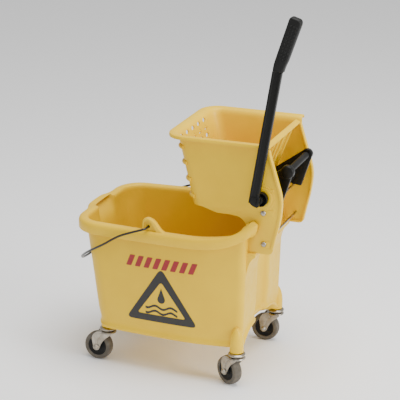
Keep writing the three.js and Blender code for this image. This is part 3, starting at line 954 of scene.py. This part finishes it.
def lip_row(out, up):
    """The mouth's flared lip at one height above the wall: narrow beside, wider at the left."""
    z = FLARE_Z + up
    row = []
    for x, y, lean in wall_line(z, MOUTH_X - up * 0.06):
        wide = out * (0.6 + 0.14 * lean)
        turn = math.radians(90 * lean)
        row.append((x - wide * math.sin(turn), y + math.copysign(wide * math.cos(turn), y), z))
    return row


def side_outline(start):
    """A side frame's edge from the hopper's foot: under the hopper, down and round the leg, and
    up the right-hand edge."""
    floor_start = (122, HOPPER_FLOOR_Z)
    floor_end = (160, HOPPER_FLOOR_Z)
    inner_foot = (205, LEG_FOOT_Z)
    under = [*line(start, floor_start, 5)[1:], *line(floor_start, floor_end, 3), floor_end]
    leg = [
        *bend(floor_end, (202, 456), (205, 405), 14)[1:],
        *line((205, 405), inner_foot, 3),
        *line(inner_foot, (254, LEG_FOOT_Z), 4),
    ]
    return under, leg, frame_right_edge()[:-1]


def wringer_skin():
    """One sheet: flared lip, rounded hopper wall, side plates with their flanges, and floor."""
    work = bmesh.new()
    lip = [(0, 0), (0.7, 5), (2.4, 9), (5.5, 12), (10, 13.6), (16, 14.4), (23, 14.8)]
    lip += [(25.6, 14.2), (26.6, 12.4), (26.8, 9.6)]
    rows = [[work.verts.new(p) for p in lip_row(out, up)] for out, up in reversed(lip)]
    grid(work, rows)
    first, last = SIDE_POINTS, len(rows[0]) - SIDE_POINTS
    step = 2.5
    levels = int((FLARE_Z - HOPPER_FOOT_Z) / step)
    lower = [rows[-1][first:last]]
    for i in range(1, levels + 1):
        z = FLARE_Z + (HOPPER_FOOT_Z - FLARE_Z) * i / levels
        level = wall_line(z, MOUTH_X)[first:last]
        lower.append([work.verts.new((x, y, z)) for x, y, _ in level])
    grid(work, lower)
    undersides = []
    for side in (-1, 1):
        y = side * FRAME_Y
        column = [row[0 if side < 0 else -1] for row in lower]
        top = rows[-1][: first + 1] if side < 0 else rows[-1][last - 1 :][::-1]
        under, leg, right = (
            [work.verts.new((a, y, z)) for a, z in part]
            for part in side_outline((column[-1].co.x, HOPPER_FOOT_Z))
        )
        work.faces.new([*column, *under, *leg, *right, *top[:-1]])
        undersides.append([column[-1], *under])
        rim = [*leg[-4:], *right, top[0]]
        inner = [work.verts.new((v.co.x, y - side * FLANGE, v.co.z)) for v in rim]
        grid(work, [rim, inner])
    work.faces.new(lower[-1])
    grid(work, undersides)
    bmesh.ops.recalc_face_normals(work, faces=work.faces)
    work.normal_update()
    # The sheet is open, so its faces may all point the same wrong way.
    inside = Vector((140, 0, 560))
    if sum(f.normal.dot(f.calc_center_median() - inside) * f.calc_area() for f in work.faces) < 0:
        bmesh.ops.reverse_faces(work, faces=work.faces)
    mesh = bpy.data.meshes.new("wringer_moulding")
    work.to_mesh(mesh)
    work.free()
    skin = show("wringer_moulding", mesh)
    thick = skin.modifiers.new("thick", "SOLIDIFY")
    thick.thickness = WALL
    thick.offset = -1
    thick.use_even_offset = True
    soft = skin.modifiers.new("soft", "BEVEL")
    soft.width = 1.2
    soft.segments = 2
    soft.limit_method = "ANGLE"
    soft.angle_limit = math.radians(50)
    return heal(settle(skin), 0.001)


def outer_ribs():
    """Half-round ribs round the outside of the hopper's left end, one at each level."""
    ribs = []
    corner_y = FRAME_Y - CORNER_ROUND
    reach = CORNER_ROUND + 1
    for z in RIB_LEVELS:
        turn = left_x(z) + CORNER_ROUND
        bow = arc((turn, -corner_y), reach, 243, 180, 10)
        straight = line((turn - reach, -corner_y), (turn - reach, corner_y), 8)
        route = [*bow, *straight, *[(x, -y) for x, y in reversed(bow)]]
        ribs.append(wire_shape("rib", [(x, y, z) for x, y in route], 5))
    return ribs


def hook_web():
    """The web that hooks over the bucket's end wall."""
    outer = [(158, 456), (158, 452), (194, 447.5), (207, 436), (208, 420), (208, 360)]
    back = [(212, 360), (212, 421), (210.5, 438), (196, 451.5), (159, 456)]
    return slab("web", [softened([*outer, *back], 3, 3)], -126.5, 126.5, 1)


def frame_details(side):
    """The round boss for the shaft, a ledge above it, pads beside the tie rods and a border."""
    centre = (SHAFT.x, SHAFT.z)
    ledge = [(222, 527), (270, 527), (272, 533), (222, 533)]
    upper_pad = [(245, 463), (271, 463), (274, 479), (245, 479)]
    lower_pad = [(240, 379), (263, 379), (263, 396), (240, 396)]
    edge = frame_right_edge()[8:-2]
    border = [*[(x - 0.4, z) for x, z in edge], *[(x - 7, z) for x, z in reversed(edge)]]
    return [
        ring("boss", 27.5, 17.2, centre, *on_side(side, 124, 134), 1.2),
        ring("step", 33.5, 24, centre, *on_side(side, 128.5, 132.4), 0.8),
        slab("ledge", [softened(ledge, 1.5)], *on_side(side, 128.5, 133.6), 1),
        slab("pad", [softened(upper_pad, 2)], *on_side(side, 128.5, 132.3), 0.8),
        slab("pad", [softened(lower_pad, 2)], *on_side(side, 128.5, 132.3), 0.8),
        slab("border", [border], *on_side(side, 128.5, 133), 0.8),
    ]


def perforations():
    """Rows of tall oval cutters through the left wall."""
    sizes = {"Count X": 7, "Count Y": 5, "Pitch X": 20.0, "Pitch Y": 38.5, "Radius": 6.0}
    depth = 24
    drill = (
        "GeometryNodeMeshCone", {"Vertices": 20, "Depth": depth}, ("Radius Bottom", "Radius Top"))
    cutters = studs("perforations", sizes, drill, (1, 1.6, 1), YELLOW)
    middle_y, middle_z = -21, 574
    place = Matrix.Translation((left_x(middle_z) + 2, middle_y, middle_z))
    turn = Matrix.Rotation(math.pi / 2 - math.atan(LEAN), 4, "Y")
    back = Matrix.Translation((0, 0, -depth / 2))
    cutters.data.transform(place @ turn @ back)
    return heal(cutters)


def wringer_moulding():
    body = wringer_skin()
    details = [part for side in (-1, 1) for part in frame_details(side)]
    fuse(body, perforations(), operation="DIFFERENCE")
    bored(body, 17.2, (SHAFT.x, SHAFT.z), 131)
    return combine("wringer_moulding", [body, hook_web(), *details, *outer_ribs()])


def tie_rods():
    """Through rods with domed heads at the front and nuts at the back."""
    reach = 132.6
    profile = [
        *[(0, -reach - 4.4), (3.5, -reach - 3.9), (6, -reach - 2.4), (7.4, -reach - 0.3)],
        *[(7.4, -reach), (3, -reach), (3, reach)],
        *[(6.5, reach), (6.5, reach + 3.6), (0, reach + 3.6)],
    ]
    for name in ("tie_rod_upper", "tie_rod_lower"):
        middle = drawn(box_middle(name))
        head = turned(f"{name}_bolt", profile, (middle.x, 0, middle.z), "Y", 32)
        keep(head, ZINC, "wringer", "zinc_steel", name)


def hinge_and_bushes():
    """The press plate's hinge pin, and the two plain bearings of the cross shaft."""
    pin = rod("hinge_pin", 4, (HINGE.x, HINGE.z), -130.6, 130.6)
    keep(pin, ZINC, "wringer", "zinc_steel", "hinge_rod")
    for side, name in ((-1, "front"), (1, "rear")):
        limits = on_side(side, 124, 134.6)
        bush = ring(f"bush_{name}", 17, 13.3, (SHAFT.x, SHAFT.z), *limits)
        keep(bush, NYLON, "wringer", "black_plastic", f"pivot_bush_{name}")


def press_plate():
    """The hinged plate, ribbed on its back, with a flange along its top."""
    dx, dz = 246 - HINGE.x, 640 - HINGE.z
    top = math.hypot(dx, dz)
    sheet = [(-4, 0), (0, 0), (0, top - 5), (11, top - 5), (11, top), (-4, top)]
    rib = [(-2, 6), (4, 14), (6, 60), (6, top - 50), (5, top - 1), (-2, top - 1)]
    rib = softened(rib, 5)
    parts = [slab("sheet", [softened(sheet, 2.5, 4)], -122, 122, 1)]
    parts += [slab("rib", [rib], y - 3, y + 3, 2) for y in (-84, -48, -12, 30, 84)]
    parts.append(ring("barrel", 8, 4.3, (0, 0), -122, 122))
    plate = combine("press_paddle", parts)
    lean = Matrix.Rotation(math.atan2(dx, dz), 4, "Y")
    plate.data.transform(Matrix.Translation((HINGE.x, 0, HINGE.z)) @ lean)
    return plate


# ---- Lever and crank -----------------------------------------------------------------------------


def lean_of(low, high):
    """The turn about Y that leans an upright piece along the line from low to high."""
    return Matrix.Rotation(math.atan2(high[0] - low[0], high[1] - low[1]), 4, "Y")


def lever_bar():
    """A flat bar with a groove down each broad face, a rounded foot and a dished hub."""
    run = math.dist(BAR_FOOT, BAR_TOP)
    quarter = [(-BAR_HALF, -5.4), (1.6 - BAR_HALF, -7), (-6.6, -7), (-5.6, -5.6)]
    half = [*quarter, *[(-x, y) for x, y in reversed(quarter)]]
    across = softened(both_ways(half), 0.8, 2)
    count = len(across)
    points = [(x, y, z) for z in (0, run) for x, y in across]
    faces = [(i, (i + 1) % count, count + (i + 1) % count, count + i) for i in range(count)]
    faces += [list(reversed(range(count))), [count + i for i in range(count)]]
    bar = heal(from_faces("bar", points, faces))
    place = Matrix.Translation((BAR_FOOT[0], LEVER_Y, BAR_FOOT[1]))
    bar.data.transform(place @ lean_of(BAR_FOOT, BAR_TOP))
    toe = [
        (219.5, 522),
        *bend((218, 513), (217.5, 497), (238, 493), 10),
        *bend((238, 493), (243, 492.5), (244, 503), 6),
        (245, 520),
    ]
    foot = slab("foot", [toe], LEVER_Y - 7, LEVER_Y + 7, 1.6)
    dish = [(0, 3), (9, 3), (9, 20), (14.5, 18), (15.6, 13), (18.4, 13), (18.4, 23.8), (0, 23.8)]
    dish = [(radius, LEVER_Y + y) for radius, y in dish]
    hub = turned("hub", softened(dish, 1, 3, closed=False), (SHAFT.x, 0, SHAFT.z), "Y", 56)
    return combine("lever_bar", [bar, foot, hub])


def grip_bumps(low, high):
    """Rows of small flattened bumps on both faces of the grip, from low to high."""
    sizes = {"Count X": 3, "Count Y": 10, "Pitch X": 7.4, "Pitch Y": 9.4, "Radius": 2.7}
    ball = ("GeometryNodeMeshIcoSphere", {"Subdivisions": 3}, ("Radius",))
    middle = between(low, high, 0.5)
    stand = lean_of(low, high) @ Matrix.Rotation(math.pi / 2, 4, "X")
    made = []
    for side in (-1, 1):
        bumps = studs("grip_bumps", sizes, ball, (1, 1, 0.55), NYLON)
        place = Matrix.Translation((middle[0], LEVER_Y + side * 11, middle[1]))
        bumps.data.transform(place @ stand)
        made.append(bumps)
    return made


def lever_grip():
    """The moulded grip: flat-sided with well rounded edges and rows of bumps."""
    outline = [
        *bend((274, 838.3), (274, 852), (281, 872), 8),
        *line((281, 872), (312, 966), 4),
        *bend((312, 966), (314, 974), (322, 973.4), 6),
        *line((322, 973.4), (336, 969), 2),
        *bend((336, 969), (344, 966), (342, 955), 6),
        *line((342, 955), (311, 866), 4),
        *bend((311, 866), (303, 850), (300, 838.3), 8),
        (300, 838.3),
    ]
    grip = slab("grip", [outline], LEVER_Y - 11, LEVER_Y + 11, 4.5)
    return combine("hand_grip", [grip, *grip_bumps((299, 872), (325, 950))])


def crank_cam(name, side):
    """A triangular cam plate with a collar on the shaft and a boss round the crank pin."""
    px, pz = CRANK_PIN.x - SHAFT.x, CRANK_PIN.z - SHAFT.z
    outline = [
        (-36, 13),
        (px - 8, pz + 11),
        *arc((px, pz), 14, 125, -11, 14),
        (35, -28),
        (11, -25),
        (-14, -16),
        (-35, 5),
    ]
    outline = [(SHAFT.x + x, SHAFT.z + z) for x, z in softened(outline, 3, 3)]
    centre = (SHAFT.x, SHAFT.z)
    y = side * CAM_Y
    size = 17 if side < 0 else 13.5
    boss = [(0, -4), (size, -4), (size, 8), (size - 2, 11), (size - 9, 12.5), (0, 13)]
    boss = softened([(radius, y + side * height) for radius, height in boss], 1, 3, closed=False)
    parts = [
        slab("plate", [outline, arc(centre, 13.3, 0, 360, 32)], y - 5, y + 5, 1.4),
        ring("collar", 19, 13.3, centre, y - 9, y + 9, 1.2),
        turned("boss", boss, (CRANK_PIN.x, 0, CRANK_PIN.z), "Y"),
    ]
    return combine(name, parts)


def lever_and_crank():
    keep(lever_bar(), COATED, "lever", "black_steel", "lever_arm")
    keep(lever_grip(), NYLON, "lever", "black_plastic", "lever_grip")
    shaft = (SHAFT.x, SHAFT.z)
    tube = ring("cross_shaft", 13, 9, shaft, LEVER_Y + 21, 143)
    keep(tube, COATED, "lever", "black_steel", "crank_shaft")
    for side, name in ((-1, "front"), (1, "rear")):
        cam = crank_cam(f"cam_{name}", side)
        keep(cam, COATED, "lever", "black_steel", f"crank_cam_{name}")
    reach = 72
    profile = both_ways([(0, -reach), (5, -reach)])
    pin = turned("cross_pin", profile, (CRANK_PIN.x, 0, CRANK_PIN.z), "Y", 32)
    keep(pin, ZINC, "lever", "zinc_steel", "crank_pin")
    roller = ring("roller", 8.6, 5.3, (CRANK_PIN.x, CRANK_PIN.z), -66, 66)
    keep(roller, NYLON, "lever", "black_plastic", "press_roller")
    collar = ring("retaining_collar", 21, 13.3, shaft, 135, 142)
    keep(collar, COATED, "lever", "black_steel", "shaft_collar")


# ---- The whole -----------------------------------------------------------------------------------

shell = bucket_moulding()
front_wall = BVHTree.FromPolygons(
    [v.co.copy() for v in shell.data.vertices], [tuple(p.vertices) for p in shell.data.polygons])
keep(shell, YELLOW, "bucket", "yellow_plastic", "bucket_shell")
warning_band(front_wall)
warning_sign(front_wall)
keep(bail(), WIRE, "bail", "black_wire", "bail_wire")
casters()
keep(
    wringer_moulding(), YELLOW, "wringer", "yellow_plastic",
    "side_frame_front", "side_frame_rear", "drain_basket",
)
tie_rods()
hinge_and_bushes()
keep(press_plate(), YELLOW, "press", "yellow_plastic", "press_plate")
lever_and_crank()


# ---- Floor, light and camera ---------------------------------------------------------------------


def lamp(name, place, size, power):
    """A round lamp aimed at the object's middle."""
    light = bpy.data.lights.new(name, "AREA")
    light.shape = "DISK"
    light.size = size
    light.energy = power
    thing = show(name, light)
    thing.location = place
    aim = Vector((0, 0, 0.4)) - Vector(place)
    thing.rotation_euler = aim.to_track_quat("-Z", "Y").to_euler()


def studio():
    reach = 30
    corners = [(-reach, -reach, 0), (reach, -reach, 0), (reach, reach, 0), (-reach, reach, 0)]
    ground = from_faces("studio_floor", corners, [(0, 1, 2, 3)])
    material, shader = new_finish("pale_floor", Roughness=0.9)
    shader.inputs["Base Color"].default_value = colour("FFFFFF")
    ground.data.materials.append(material)

    world = bpy.data.worlds.new("studio")
    bpy.context.scene.world = world
    world.use_nodes = True
    back = world.node_tree.nodes["Background"]
    back.inputs["Color"].default_value = (1, 1, 1, 1)
    back.inputs["Strength"].default_value = 0.7
    lamp("overhead_light", (0.6, -0.2, 3.2), 2.4, 110)
    lamp("right_light", (3.2, -0.6, 1.4), 1.6, 80)


def camera():
    """The view from the front right, a little above."""
    azimuth = math.radians(21.16)
    elevation = math.radians(19.12)
    distance = 4.175
    target = Vector((-0.0009, 0, 0.434))
    flat = math.cos(elevation)
    away = Vector((flat * math.sin(azimuth), -flat * math.cos(azimuth), math.sin(elevation)))
    lens = bpy.data.cameras.new("camera")
    lens.sensor_width = 36
    lens.lens = 145.4
    eye = show("camera", lens)
    eye.location = target + away * distance
    eye.rotation_euler = (-away).to_track_quat("-Z", "Y").to_euler()
    bpy.context.scene.camera = eye


studio()
camera()
